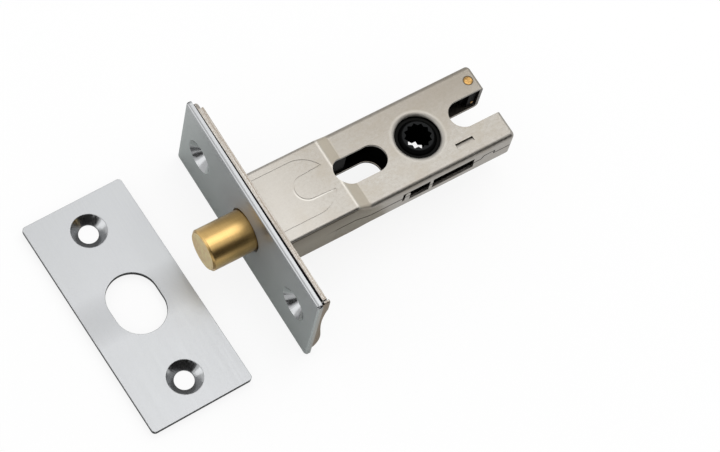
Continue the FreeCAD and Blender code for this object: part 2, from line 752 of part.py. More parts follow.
def main():
    os.makedirs("parts", exist_ok=True)
    shell = case_shell()
    write("faceplate", make_faceplate())
    write("forend", make_forend())
    write("case_top", make_case_top(shell))
    write("case_bottom", make_case_bottom(shell))
    write("rear_spacer", make_rear_spacer())
    write("spacer_pin", make_spacer_pin())
    write("rear_rivet", make_rear_rivet())
    write("strike_plate", make_strike_plate())
    write("hub_bush_top", make_bush(1))
    write("hub_bush_bottom", make_bush(-1))
    write("bolt", make_bolt())
    write("bolt_carriage", make_carriage())
    write("carriage_pin", cross_pin(0))
    write("drag_spring", make_drag_spring())
    write("spindle_hub", make_hub())
    write("follower", make_follower())
    write("crank_pin", make_crank_pin())


main()
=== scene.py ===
# %% [markdown]
# A privacy bolt for a bathroom door, dressed for its picture. The solids come
# from the CAD model and are already in the right place, so this notebook adds
# the softened edges, the finishes, the studio and the camera. Lengths are in
# metres. +X runs along the bolt into the door, +Y along the faceplate and +Z out
# of the wide face of the case.

# %% Load the frame
import math
import bpy
import numpy as np
from mathutils import Matrix, Vector


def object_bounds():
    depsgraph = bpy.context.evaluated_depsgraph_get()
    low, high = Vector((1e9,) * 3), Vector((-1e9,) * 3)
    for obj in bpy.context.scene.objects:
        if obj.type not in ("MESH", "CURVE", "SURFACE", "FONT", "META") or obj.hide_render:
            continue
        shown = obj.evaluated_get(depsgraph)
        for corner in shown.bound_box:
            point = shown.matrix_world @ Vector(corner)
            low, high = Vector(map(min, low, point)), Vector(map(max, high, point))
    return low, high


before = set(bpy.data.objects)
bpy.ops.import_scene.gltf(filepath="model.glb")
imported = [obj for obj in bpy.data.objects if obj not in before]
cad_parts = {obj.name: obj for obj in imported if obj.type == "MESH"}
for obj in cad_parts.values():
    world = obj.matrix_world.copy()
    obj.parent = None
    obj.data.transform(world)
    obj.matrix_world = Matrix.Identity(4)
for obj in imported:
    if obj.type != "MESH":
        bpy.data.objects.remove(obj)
cad_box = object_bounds()
scene = bpy.context.scene
MM = 0.001
print("nodes:", ", ".join(sorted(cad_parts)))

# %% [markdown]
# A pressed or turned metal piece never has a perfectly sharp edge. The edges
# could be rounded by hand, but modifiers do it for every piece in the same way.
# The CAD meshes are made of loose triangles, so each gets four modifiers, which
# leave its own points alone. Weld joins the triangles, and Decimate merges those
# that lie in one plane. Bevel rounds the edges by a few hundredths of a
# millimetre so that they catch the light. Weighted Normal then lets the largest
# face at each corner decide the shading, which keeps flat metal flat.

# %% Round every edge a little
EDGE = {"bolt": 0.12, "strike_plate": 0.12, "faceplate": 0.08, "forend": 0.06,
        "case_top": 0.08, "case_bottom": 0.08, "spindle_hub": 0.10, "rear_rivet": 0.03,
        "drag_spring": 0.03}
OTHER_EDGE = 0.05
FLAT_WITHIN, SHARP_FROM = math.radians(0.5), math.radians(28)


def soften(obj, width_mm):
    """Weld the triangles, merge flat ones, round the edges, keep flat faces flat."""
    weld = obj.modifiers.new("weld", "WELD")
    weld.merge_threshold = 1e-6
    planar = obj.modifiers.new("planar", "DECIMATE")
    planar.decimate_type = "DISSOLVE"
    planar.angle_limit = FLAT_WITHIN
    bevel = obj.modifiers.new("edges", "BEVEL")
    bevel.width = width_mm * MM
    bevel.segments = 2
    bevel.limit_method = "ANGLE"
    bevel.angle_limit = SHARP_FROM
    even = obj.modifiers.new("even", "WEIGHTED_NORMAL")
    even.mode = "FACE_AREA"
    even.weight = 100
    obj.data.shade_smooth()


for name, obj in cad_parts.items():
    soften(obj, EDGE.get(name, OTHER_EDGE))
print("rounded:", len(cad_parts), "nodes, by", min(EDGE.values()), "to",
      max(EDGE.values()), "mm")

# %% [markdown]
# A finish is a material built from nodes, and every finish here uses the same
# few steps. They could be written out node by node, but then the recipe would
# drown in links, so the next cell gives each step a short name. A step takes a
# plain number as well as the output of another step.

# %% Nodes and links


class Nodes:
    """One material with a short way to add and join nodes."""

    def __init__(self, name):
        self.material = bpy.data.materials.new(name)
        self.material.use_nodes = True
        self.tree = self.material.node_tree
        self.surface = self.tree.nodes["Principled BSDF"]
        self.where = self.add("ShaderNodeTexCoord").outputs["Object"]

    def add(self, kind, **settings):
        node = self.tree.nodes.new(kind)
        for key, value in settings.items():
            setattr(node, key, value)
        return node

    def join(self, source, target):
        self.tree.links.new(source, target)

    def feed(self, socket, value):
        """Link an output to a socket, or set a plain number or colour on it."""
        if isinstance(value, bpy.types.NodeSocket):
            self.join(value, socket)
        else:
            socket.default_value = value

    def sums(self, kind, a, b=0.5):
        """One arithmetic step, such as MULTIPLY or ADD."""
        node = self.add("ShaderNodeMath", operation=kind)
        self.feed(node.inputs[0], a)
        self.feed(node.inputs[1], b)
        return node.outputs["Value"]

    def blend(self, share, first, second):
        """A colour between two others, by a share from 0 to 1."""
        node = self.add("ShaderNodeMix", data_type="RGBA")
        self.feed(node.inputs["Factor"], share)
        self.feed(node.inputs["A"], first)
        self.feed(node.inputs["B"], second)
        return node.outputs["Result"]


print("steps:", ", ".join(step for step in vars(Nodes) if step[0] != "_"))

# %% [markdown]
# Painted shade, painted highlights and dark lines sit at known places, so a
# finish must turn a place into a share from 0 to 1, called a mask. The masks could
# be painted on an image, but numbers need no file and can be moved. Each mask is a
# distance that Map Range turns into a share with a soft edge, and masks are
# multiplied where all of them must hold.

# %% Masks


class Masks(Nodes):
    """Steps that turn numbers into shares with soft edges."""

    def spread(self, value, low, high, to_low=0.0, to_high=1.0):
        """Map a value's range from low..high to to_low..to_high, and stop there."""
        node = self.add("ShaderNodeMapRange")
        self.feed(node.inputs["Value"], value)
        for key, number in zip(("From Min", "From Max", "To Min", "To Max"),
                               (low, high, to_low, to_high)):
            node.inputs[key].default_value = number
        return node.outputs["Result"]

    def near(self, value, centre, within, gone, share=1.0):
        """The share while a value is within so much of a centre, and 0 from gone on."""
        off = self.sums("ABSOLUTE", self.sums("SUBTRACT", value, centre))
        return self.spread(off, within, gone, share, 0)

    def both(self, first, *others):
        """Shares multiplied, so that all of them must hold."""
        for other in others:
            first = self.sums("MULTIPLY", first, other)
        return first

    def weigh(self, first, share, second, other):
        """Two values added, each times its own share."""
        return self.sums("ADD", self.both(first, share), self.both(second, other))

    def away(self, a, b, a0, b0):
        """How far the point (a, b) lies from (a0, b0), by Pythagoras."""
        da, db = self.sums("SUBTRACT", a, a0), self.sums("SUBTRACT", b, b0)
        return self.sums("SQRT", self.weigh(da, da, db, db))

    def off_line(self, a, b, start, end):
        """How far the point (a, b) lies from a straight line between two others.

        The point is dropped square onto the line, and the foot stops at its ends.
        """
        run, rise = end[0] - start[0], end[1] - start[1]
        along = self.weigh(self.sums("SUBTRACT", a, start[0]), run,
                           self.sums("SUBTRACT", b, start[1]), rise)
        foot = self.spread(self.sums("DIVIDE", along, run * run + rise * rise), 0, 1)
        return self.away(a, b, self.sums("ADD", self.both(foot, run), start[0]),
                         self.sums("ADD", self.both(foot, rise), start[1]))


print("masks:", ", ".join(step for step in vars(Masks) if step[0] != "_"))

# %% [markdown]
# A pattern reads the Object coordinate, which for these pieces is the place on
# the real object in metres. A Mapping node then stretches it: a small scale
# along one axis draws a noise out into the fine lines that a brush, a rolling
# mill or a lathe leaves. Bump turns the same pattern into a shallow relief, so
# that the lines catch the light as well as change the colour.

# %% Patterns and places


class Finish(Masks):
    """A finish that knows the place on the object and draws patterns there."""

    def noise(self, per_mm, detail=2.0, rough=0.5, turn=(0, 0, 0)):
        """A cloudy pattern from 0 to 1, with so many features per millimetre."""
        mapping = self.add("ShaderNodeMapping")
        self.join(self.where, mapping.inputs["Vector"])
        mapping.inputs["Rotation"].default_value = turn
        mapping.inputs["Scale"].default_value = [s / MM for s in per_mm]
        node = self.add("ShaderNodeTexNoise")
        node.inputs["Scale"].default_value = 1.0
        node.inputs["Detail"].default_value = detail
        node.inputs["Roughness"].default_value = rough
        self.join(mapping.outputs["Vector"], node.inputs["Vector"])
        return node.outputs["Fac"]

    def bump(self, height, depth_mm):
        """Relief from a height of 0 to 1, so many millimetres deep."""
        node = self.add("ShaderNodeBump")
        node.inputs["Strength"].default_value = 1.0
        node.inputs["Distance"].default_value = depth_mm * MM
        self.feed(node.inputs["Height"], height)
        return node.outputs["Normal"]

    def axis(self, source, letter):
        """One of the three parts of a vector."""
        node = self.add("ShaderNodeSeparateXYZ")
        self.join(source, node.inputs["Vector"])
        return node.outputs[letter]

    def parts(self):
        """The place on the object as three numbers, X, Y and Z, in millimetres."""
        scaled = self.add("ShaderNodeVectorMath", operation="SCALE")
        self.join(self.where, scaled.inputs[0])
        scaled.inputs["Scale"].default_value = 1 / MM
        return [self.axis(scaled.outputs["Vector"], letter) for letter in "XYZ"]

    def facing(self, letter):
        """How far the surface faces along an axis of the object, from -1 to 1."""
        geometry = self.add("ShaderNodeNewGeometry")
        turn = self.add("ShaderNodeVectorTransform", vector_type="NORMAL",
                        convert_from="WORLD", convert_to="OBJECT")
        self.join(geometry.outputs["Normal"], turn.inputs["Vector"])
        return self.axis(turn.outputs["Vector"], letter)

    def square_to(self, letter):
        """The same either way round: 1 on a surface that lies square to the axis."""
        return self.sums("ABSOLUTE", self.facing(letter))

    def metal(self, colour, rough, normal=None, metallic=1.0):
        """The finished material, from its colour, its roughness and its relief."""
        self.feed(self.surface.inputs["Base Color"], colour)
        self.feed(self.surface.inputs["Roughness"], rough)
        self.surface.inputs["Metallic"].default_value = metallic
        if normal is not None:
            self.join(normal, self.surface.inputs["Normal"])
        return self.material


finishes = {}


def keep(key, material):
    """Keep a finish under a short name, and say how many nodes it took."""
    finishes[key] = material
    print(material.name, "has", len(material.node_tree.nodes), "nodes")


# %% [markdown]
# The faceplate and the strike plate are steel sheet, polished on a belt that
# ran along their length and then plated with satin chrome. The belt leaves
# lines a tenth of a millimetre wide and many millimetres long, so two noises
# are drawn out along Y: a fine one for the lines themselves and a broad one for
# the places where the belt pressed harder. The belt doesn't reach the turned
# cones of the countersinks, which face none of the axes, so they stay smoother.
# Round the bolt's window the plate is a little duller, which keeps the bolt's
# reflection as faint as in the photograph. At the faceplate's corners, the small
# round reliefs are painted black, as the shade in these holes.

# %% Satin chrome
PAINTED_BLACK_SHADE = (0.004, 0.004, 0.004, 1)
RELIEF_Y, RELIEF_Z = 28.85, 13.05
RELIEF_EDGE = (0.22, 0.30)
DULL_EDGE = (8.0, 13.0)


def satin_chrome():
    f = Finish("satin_chrome")
    fine = f.noise((11, 0.16, 11), detail=3)
    broad = f.noise((1.4, 0.02, 1.4), detail=2)
    cloud = f.noise((0.06, 0.04, 0.06), detail=3)
    lines = f.spread(f.weigh(fine, 0.7, broad, 0.3), 0.34, 0.66)
    colour = f.blend(lines, (0.365, 0.371, 0.380, 1), (0.425, 0.431, 0.441, 1))
    colour = f.blend(f.spread(cloud, 0.3, 0.7, 0, 0.5), colour, (0.385, 0.396, 0.398, 1))
    _, y, z = f.parts()
    # The corner reliefs are painted black: painted shade in the holes.
    corner = f.away(f.sums("ABSOLUTE", y), f.sums("ABSOLUTE", z), RELIEF_Y, RELIEF_Z)
    colour = f.blend(f.spread(corner, *RELIEF_EDGE, 1, 0), colour, PAINTED_BLACK_SHADE)
    level = f.sums("MAXIMUM", f.sums("MAXIMUM", f.square_to("X"), f.square_to("Y")),
                   f.square_to("Z"))
    smoother = f.both(f.spread(level, 0.8, 0.88, 1, 0), 0.20)
    duller = f.spread(f.away(y, z, 0.0, 0.0), *DULL_EDGE, 0.22, 0)
    rough = f.sums("SUBTRACT", f.spread(lines, 0, 1, 0.37, 0.45), smoother)
    return f.metal(colour, f.sums("ADD", rough, duller), f.bump(lines, 0.002))


keep("chrome", satin_chrome())

# %% [markdown]
# The case is pressed from steel strip and plated with satin nickel, which is
# warmer and duller than chrome. Barrel finishing gives the plate a fine even
# grain, with a few faint lines from the rolling mill and some browner clouds. An
# image could give the same grain, but noises need no file and never repeat. The
# front of the case is painted a little paler, as light, and its rear and its far
# side are painted darker and browner, as shade.

# %% Satin nickel, the plate


def nickel_plate(f, x, y):
    """The grain from 0 to 1, three noises added, and the plate's colour from it, with
    painted light at the front and painted shade at the rear and far side.
    """
    grain = f.noise((6, 6, 6), detail=4, rough=0.65)
    mottle = f.noise((1.1, 1.3, 1.3), detail=4, rough=0.65)
    mill = f.noise((0.12, 5, 5), detail=2)
    cloud = f.noise((0.16, 0.22, 0.22), detail=5, rough=0.6)
    mixed = f.sums("ADD", f.weigh(grain, 0.5, mottle, 0.4), f.both(mill, 0.1))
    mixed = f.spread(mixed, 0.38, 0.62)
    colour = f.blend(mixed, (0.275, 0.255, 0.225, 1), (0.395, 0.378, 0.35, 1))
    colour = f.blend(f.spread(cloud, 0.45, 0.68, 0, 0.5), colour, (0.30, 0.268, 0.222, 1))
    # Painted light: the front of the case paler.
    colour = f.blend(f.spread(x, 8, 20, 0.5, 0), colour, (0.43, 0.41, 0.38, 1))
    # Painted shade: darker and browner towards the rear and the far side.
    far_shade = f.both(f.spread(y, -5, 7, 0.1), f.spread(x, 14, 60, 0.2), 0.7)
    return mixed, f.blend(far_shade, colour, (0.215, 0.19, 0.155, 1))


print("three noises make the plate's grain")

# %% [markdown]
# Where the press has bent or coined the sheet, highlights are painted into the
# colour: pale lines on the crease at the top of the ramp, on the lip of the
# coined fork's throat and round the hub's collar. The ramp itself is painted
# lighter and browner, as the light it catches. These marks are fractions of a
# millimetre wide, so they are drawn in the finish and not cut into the solids,
# each by its distance from a line or a centre.

# %% Satin nickel, painted highlights
RIDGE_X, RAMP_X = 23.9, 25.7
THROAT, THROAT_END, LIP_RADIUS = (16.0, 0.35), (25.0, 0.35), 3.33
TINE_TIP = (20.6, 21.4)


def painted_highlights(f, colour, x, y, z, collar_highlight):
    """The colour with the ramp painted lighter, and painted highlights at the crease, the
    lip and the collar.
    """
    wide = f.spread(f.square_to("Z"), 0.35, 0.7)
    # Painted light: the ramp lighter and browner.
    ramp = f.both(f.near(x, RAMP_X, 1.1, 1.9), wide, 0.7)
    colour = f.blend(ramp, colour, (0.43, 0.385, 0.31, 1))
    # A painted highlight along the crease.
    ridge_highlight = f.both(f.near(x, RIDGE_X, 0.05, 0.55, 0.45), wide)
    colour = f.blend(ridge_highlight, colour, (0.72, 0.69, 0.63, 1))
    # A painted highlight on the lip of the fork's throat.
    throat = f.off_line(x, y, THROAT, THROAT_END)
    lip = f.both(f.near(throat, LIP_RADIUS, 0.08, 0.22, 0.38), f.spread(y, -0.5, 1.5, 1, 0),
                 f.spread(x, *TINE_TIP, 1, 0), f.spread(z, 5, 6))
    colour = f.blend(lip, colour, (0.72, 0.70, 0.65, 1))
    # A painted highlight round the collar.
    return f.blend(collar_highlight, colour, (0.70, 0.68, 0.63, 1))


print("ramp at", RAMP_X, "mm, its crease at", RIDGE_X, "mm")

# %% [markdown]
# The front side walls are painted darker towards the bend under the wide face,
# as shade, and the bend itself gets a painted dark reflection line. A thin dark
# line follows the joint between the shells, which runs level but for the step of
# the lower shell's key, and another goes round the rivet's head. The joint is a
# chain of straight lines, and the nearest of them counts.

# %% Satin nickel, painted shade and dark lines
BROWN_SHADE_AND_JOINT = (0.02, 0.014, 0.009, 1)
RIVET, RIVET_EDGE = (64.8, 6.8), (1.2, 1.36)
SIDE_END, BEND_Z = (22, 30), (5.35, 5.65)
SEAM = [(15, 0.25), (58.1, 0.25), (58.8, 1.45), (61.75, 1.45), (61.75, 0.25), (68, 0.25)]


def shade_and_dark_lines(f, colour, x, y, z):
    """The colour with painted shade on the front side walls and the bend, and dark lines
    along the joint and at the rivet.
    """
    side = f.both(f.spread(f.square_to("Y"), 0.8, 0.95), f.spread(x, *SIDE_END, 1, 0))
    # Painted shade: the front side walls darker towards the bend.
    side_shade = f.both(side, f.spread(z, 0.5, 5.5, 0, 0.5))
    colour = f.blend(side_shade, colour, (0.10, 0.08, 0.058, 1))
    # A painted dark reflection along the bend, with its Specular Tint taken to black there.
    bend = f.both(side, f.spread(z, *BEND_Z, 0, 0.9))
    colour = f.blend(bend, colour, BROWN_SHADE_AND_JOINT)
    f.join(f.blend(bend, (1, 1, 1, 1), (0, 0, 0, 1)), f.surface.inputs["Specular Tint"])
    gap = f.off_line(x, z, SEAM[0], SEAM[1])
    for start, end in zip(SEAM[1:], SEAM[2:]):
        gap = f.sums("MINIMUM", gap, f.off_line(x, z, start, end))
    seam = f.both(f.spread(gap, 0.15, 0.27, 1, 0), f.spread(x, 15, 20))
    colour = f.blend(seam, colour, BROWN_SHADE_AND_JOINT)
    ring = f.spread(f.away(x, y, *RIVET), *RIVET_EDGE, 0.85, 0)
    return f.blend(ring, colour, (0.03, 0.022, 0.015, 1))


print("joint drawn by", len(SEAM) - 1, "straight lines")

# %% [markdown]
# Inside, the sheet is painted black, as the shade within the case. The shells
# are one solid each, so the finish has to know its inside from its outside:
# everything nearer the axis than the middle of the sheet's thickness counts as
# inside, and the sheet steps in behind the ramp. The cut edges of the lower shell
# are painted black as shade too, but for a painted highlight along their rim.

# %% Satin nickel, the inside
MIDDLE_Y, MIDDLE_Z, RIM_Z = 9.45, 5.55, 5.5
STEP_X, STEP_Y, STEP_Z = (23.5, 27.5), 0.5, 1.5
REAR_NOTCH = (58.5, 60)


def painted_inside_shade(f, colour, x, y, z):
    """The colour, painted black as shade where |Y| and |Z| lie inside the middle of the
    sheet, with a painted highlight on the cut rim.
    """
    back = f.spread(x, *STEP_X)
    across = f.sums("SUBTRACT", f.sums("ABSOLUTE", y), f.both(back, STEP_Y))
    level = f.sums("ADD", f.sums("ABSOLUTE", z), f.both(back, STEP_Z))
    near = f.spread(across, MIDDLE_Y - 0.1, MIDDLE_Y + 0.1, 1, 0)
    inside = f.both(near, f.spread(level, MIDDLE_Z - 0.1, MIDDLE_Z + 0.1, 1, 0))
    upright = f.spread(f.square_to("Z"), 0.3, 0.5, 1, 0)
    cut = f.both(near, upright, f.spread(z, -1, 0, 1, 0))
    # Painted shade: the inside and the cut edges black.
    inside_shade = f.both(f.sums("MAXIMUM", inside, cut), f.spread(x, *REAR_NOTCH, 1, 0.7))
    colour = f.blend(inside_shade, colour, (0.012, 0.011, 0.009, 1))
    # A painted highlight along the cut edges' rim.
    rim = f.both(f.near(level, RIM_Z, 0.08, 0.14, 0.9), cut)
    return f.blend(rim, colour, (0.45, 0.40, 0.33, 1))


print("inside is within", MIDDLE_Y, "mm on Y and", MIDDLE_Z, "mm on Z at the front")

# %% [markdown]
# Now the four parts of the nickel are put together. The order matters: each
# blend covers the one before it, so the plate comes first and the black last.

# %% Satin nickel, put together
HUB_X = 46.4
COLLAR_EDGE = (4.8, 7.0)


def satin_nickel():
    f = Finish("satin_nickel")
    x, y, z = f.parts()
    grain, colour = nickel_plate(f, x, y)
    # The collar's pale ring is a painted highlight. The plate is also made rougher there.
    collar_highlight = f.spread(f.away(x, y, HUB_X, 0), *COLLAR_EDGE, 0.8, 0)
    colour = painted_highlights(f, colour, x, y, z, collar_highlight)
    colour = shade_and_dark_lines(f, colour, x, y, z)
    colour = painted_inside_shade(f, colour, x, y, z)
    rough = f.sums("ADD", f.spread(grain, 0, 1, 0.33, 0.44), f.both(collar_highlight, 0.25))
    return f.metal(colour, rough, f.bump(grain, 0.006))


keep("nickel", satin_nickel())

# %% [markdown]
# The forend is cut from strip with a shear, and its plated edge shows as a pale,
# grainy band with lines along its length and brown specks, browner at its lower
# end. It could be a flat colour at this size, but the grain tells the eye that
# this is a cut edge and not a bend. The crevice beside the faceplate's fold, and
# the slit near the lower end, are painted black as shade.

# %% Sheared edge of the forend
SLIT_Y, STRIPE_X = -27.7, 2.95


def sheared_nickel():
    f = Finish("sheared_nickel")
    grain = f.noise((7, 2.2, 7), detail=4, rough=0.7)
    lines = f.noise((4.5, 0.08, 4.5), detail=3)
    mixed = f.spread(f.weigh(grain, 0.6, lines, 0.4), 0.34, 0.64)
    colour = f.blend(mixed, (0.235, 0.195, 0.155, 1), (0.50, 0.485, 0.455, 1))
    specks = f.spread(f.noise((3.5, 2.0, 3.5), detail=3, rough=0.6), 0.54, 0.64, 0, 0.55)
    colour = f.blend(specks, colour, (0.17, 0.13, 0.095, 1))
    x, y, _ = f.parts()
    wave = f.both(f.sums("SUBTRACT", f.noise((0.2, 0.2, 0.2)), 0.5), 0.8)
    stripe = f.near(f.sums("ADD", x, wave), STRIPE_X, 0.03, 0.14, 0.6)
    colour = f.blend(stripe, colour, (0.18, 0.13, 0.09, 1))
    colour = f.blend(f.spread(y, -28.6, -28.2, 0.7, 0), colour, (0.20, 0.15, 0.11, 1))
    # Painted shade: the crevice beside the fold and the slit painted black.
    depth = f.spread(y, -20, 28, 2.3, 1.9)
    crevice = f.spread(f.sums("SUBTRACT", x, depth), -0.06, 0.06, 1, 0)
    crevice = f.sums("MAXIMUM", crevice, f.near(y, SLIT_Y, 0.16, 0.24))
    outer = f.spread(f.square_to("Z"), 0.4, 0.6)
    colour = f.blend(f.both(crevice, outer), colour, PAINTED_BLACK_SHADE)
    return f.metal(colour, f.spread(mixed, 0, 1, 0.5, 0.38), f.bump(mixed, 0.012))


keep("edge", sheared_nickel())

# %% [markdown]
# The bolt is turned from brass bar. On its barrel the tool leaves rings round
# the axis and the sliding adds faint scratches along it, so one noise is short
# along X and the other long. A thin clear lacquer keeps the brass bright and
# makes its highlight whiter. It could be a second layer of mesh, but the coat of
# the Principled shader does the same.

# %% Brass barrel


def brass_barrel(f):
    """The rings and scratches from 0 to 1, and the barrel's colour from them."""
    rings = f.noise((7, 0.2, 0.2), detail=3)
    drag = f.noise((0.10, 3, 3), detail=2)
    patina = f.noise((0.25, 0.3, 0.3), detail=4, rough=0.6)
    mixed = f.spread(f.weigh(rings, 0.6, drag, 0.4), 0.36, 0.64)
    colour = f.blend(mixed, (0.52, 0.33, 0.105, 1), (0.60, 0.395, 0.135, 1))
    tarnish = f.spread(patina, 0.45, 0.7, 0, 0.35)
    f.surface.inputs["Coat Weight"].default_value = 0.7
    f.surface.inputs["Coat Roughness"].default_value = 0.3
    return mixed, f.blend(tarnish, colour, (0.46, 0.275, 0.08, 1))


print("barrel: rings across, scratches along")

# %% [markdown]
# The bolt's end is sawn off and then faced, so it has rings round its centre,
# short straight scratches and a few stains, and its rim gets a painted highlight.
# The rings are a sine of the distance from the axis. The face is much duller than
# the barrel, and its colour is painted far paler than the barrel's, as light.

# %% Turned brass
RING_TURNS = 21.0
RIM_FROM, RIM_TO = 5.3, 5.6


def sawn_face(f):
    """The marks from 0 to 1, a sine of the radius plus scratches, and the face's colour,
    painted pale as light, with a painted highlight on its rim.
    """
    _, y, z = f.parts()
    radius = f.away(y, z, 0.0, 0.0)
    rings = f.spread(f.sums("SINE", f.both(radius, RING_TURNS)), -1, 1)
    sawn = f.spread(f.noise((4, 0.35, 5), detail=4, rough=0.7, turn=(0.5, 0, 0)), 0.35, 0.65)
    marks = f.weigh(rings, 0.35, sawn, 0.65)
    stain = f.spread(f.noise((1.1, 0.9, 0.35), detail=3, turn=(0.5, 0, 0)), 0.42, 0.62)
    # The face's colours are painted far paler than the barrel's: painted light on top of its
    # marks.
    colour = f.blend(marks, (0.93, 0.64, 0.28, 1), (1.0, 0.97, 0.60, 1))
    colour = f.blend(f.both(stain, 0.6), colour, (0.84, 0.60, 0.31, 1))
    # A painted highlight round the rim.
    return marks, f.blend(f.spread(radius, RIM_FROM, RIM_TO), colour, (1.0, 0.92, 0.60, 1))


def turned_brass():
    f = Finish("turned_brass")
    mixed, barrel = brass_barrel(f)
    marks, face = sawn_face(f)
    end = f.spread(f.facing("X"), -0.95, -0.8, 1, 0)
    rough = f.sums("ADD", f.spread(mixed, 0, 1, 0.29, 0.35), f.both(end, 0.30))
    relief = f.weigh(mixed, 0.25, marks, end)
    return f.metal(f.blend(end, barrel, face), rough, f.bump(relief, 0.004))


keep("brass", turned_brass())

# %% [markdown]
# The hub is a zinc casting with a black coating. The coat fills the casting's
# grain, so the gloss is even with a slight orange peel. Its flat top catches
# some light, but the walls of its socket are as good as unlit, and the teeth
# show only as an outline. So the walls and teeth are painted darker, as shade,
# and the gloss is given to the flat faces alone.

# %% Black zinc


def black_zinc():
    f = Finish("black_zinc")
    peel = f.noise((1.6, 1.6, 1.6), detail=2)
    dust = f.spread(f.noise((5, 5, 5), detail=4, rough=0.7), 0.55, 0.75)
    flat = f.spread(f.facing("Z"), 0.5, 0.9)
    colour = f.blend(dust, (0.007, 0.0075, 0.008, 1), (0.015, 0.015, 0.016, 1))
    # Painted shade: all but the flat faces darker.
    colour = f.blend(flat, (0.001, 0.001, 0.001, 1), colour)
    f.join(f.spread(flat, 0, 1, 0.0, 0.08), f.surface.inputs["Specular IOR Level"])
    return f.metal(colour, f.spread(dust, 0, 1, 0.28, 0.45), f.bump(peel, 0.006),
                   metallic=0.0)


keep("zinc", black_zinc())

# %% [markdown]
# The bushes, the follower, the rear block and the frame that ties the bolt to
# the crank are black mouldings with a fine grain from the mould. A glossy black
# would mirror the white studio and look grey through the slot, so these have
# hardly any gloss and stay black there.

# %% Black moulding


def black_moulding():
    f = Finish("black_moulding")
    grain = f.noise((8, 8, 8), detail=3, rough=0.6)
    colour = f.blend(f.spread(grain, 0.3, 0.7), (0.002, 0.002, 0.002, 1),
                     (0.006, 0.006, 0.005, 1))
    f.surface.inputs["Specular IOR Level"].default_value = 0.05
    return f.metal(colour, f.spread(grain, 0, 1, 0.5, 0.65), f.bump(grain, 0.006),
                   metallic=0.0)


keep("moulding", black_moulding())

# %% [markdown]
# The pins and the leaf spring are bright steel. A pin is drawn through a die
# that leaves marks along it, so the noise is long on Z, the way the pins stand.
# The rivet and the pin of the rear block are soft brass. Their heads are
# hammered, which a deep, slow bump shows, and dirt stays in the dents.

# %% Steel pins and brass rivet


def drawn_steel():
    f = Finish("drawn_steel")
    marks = f.spread(f.noise((5, 5, 0.2), detail=3), 0.35, 0.65)
    colour = f.blend(marks, (0.36, 0.36, 0.36, 1), (0.46, 0.46, 0.455, 1))
    return f.metal(colour, f.spread(marks, 0, 1, 0.28, 0.4), f.bump(marks, 0.003))


def rivet_brass():
    f = Finish("rivet_brass")
    dents = f.noise((1.7, 1.7, 1.7), detail=3)
    dirt = f.spread(f.noise((2.6, 2.6, 2.6), detail=4, rough=0.7), 0.5, 0.72)
    colour = f.blend(dirt, (0.38, 0.225, 0.078, 1), (0.20, 0.11, 0.04, 1))
    return f.metal(colour, f.spread(dirt, 0, 1, 0.28, 0.45), f.bump(dents, 0.06))


keep("steel", drawn_steel())
keep("rivet", rivet_brass())

# %% [markdown]
# Each piece of the bolt gets one finish. A table says which, so that a piece can
# be given another one by changing a single word.

# %% Give each piece its finish
WEARS = {
    "faceplate": "chrome", "strike_plate": "chrome", "forend": "edge",
    "case_top": "nickel", "case_bottom": "nickel", "bolt": "brass",
    "bolt_carriage": "moulding", "spindle_hub": "zinc", "follower": "moulding",
    "hub_bush_top": "moulding", "hub_bush_bottom": "moulding", "rear_spacer": "moulding",
    "carriage_pin": "steel", "crank_pin": "steel", "drag_spring": "steel",
    "rear_rivet": "rivet", "spacer_pin": "rivet"}
for name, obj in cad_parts.items():
    obj.data.materials.clear()
    obj.data.materials.append(finishes[WEARS[name]])
print("finishes:", ", ".join(sorted(finishes)))

# %% [markdown]
# The studio is a sheet of white paper under the whole object. A lit paper is
# never quite white in the picture, because it is grey where the object shades
# it. A photographer would light it from below. Here the camera and the
# reflections see a share of plain white in it, so the shadow stays but is faint.
# The light that the paper sends to the object isn't changed.

# %% Paper floor
FLOOR_Z = cad_box[0][2]
GLOW = 0.85


def grid_mesh(name, points):
    """A surface from a grid of points, with a face between each four neighbours."""
    rows, columns = points.shape[:2]
    index = np.arange(rows * columns).reshape(rows, columns)
    corners = np.stack([index[:-1, :-1], index[1:, :-1], index[1:, 1:], index[:-1, 1:]], -1)
    mesh = bpy.data.meshes.new(name)
    mesh.from_pydata(points.reshape(-1, 3).tolist(), [], corners.reshape(-1, 4).tolist())
    mesh.update()
    obj = bpy.data.objects.new(name, mesh)
    scene.collection.objects.link(obj)
    return obj


def floor_points(half=3.0, count=9):
    """A flat square at the floor's height, from its middle out by half on X and Y."""
    x, y = np.meshgrid(np.linspace(-half, half, count), np.linspace(-half, half, count),
                       indexing="ij")
    return np.stack([x, y, np.full_like(x, FLOOR_Z)], -1)


def paper():
    """White paper: what looks straight at it sees GLOW of white and the rest of it lit."""
    f = Finish("paper")
    f.metal((0.95, 0.95, 0.95, 1), 0.9, metallic=0.0)
    white = f.add("ShaderNodeEmission")
    paths = f.add("ShaderNodeLightPath")
    seen = f.sums("MAXIMUM", paths.outputs["Is Camera Ray"], paths.outputs["Is Glossy Ray"])
    seen = f.sums("MAXIMUM", seen, paths.outputs["Is Transmission Ray"])
    mix = f.add("ShaderNodeMixShader")
    f.join(f.both(seen, GLOW), mix.inputs["Fac"])
    f.join(f.surface.outputs["BSDF"], mix.inputs[1])
    f.join(white.outputs["Emission"], mix.inputs[2])
    f.join(mix.outputs["Shader"], f.tree.nodes["Material Output"].inputs["Surface"])
    return f.material


floor = grid_mesh("floor", floor_points())
floor.data.materials.append(paper())
print("floor at", round(FLOOR_Z / MM, 2), "mm")

# %% [markdown]
# Metal has no colour of its own in the dark: it shows what stands around it. So
# dark screens stand round the object, out of the camera's sight, and draw the
# dark lines along the bends and the bolt. Each is part of a circle. Grey cards
# lie on the floor where the upright faces mirror it, as a photographer's would.
# Only reflections see screens and cards, so they take no light away.

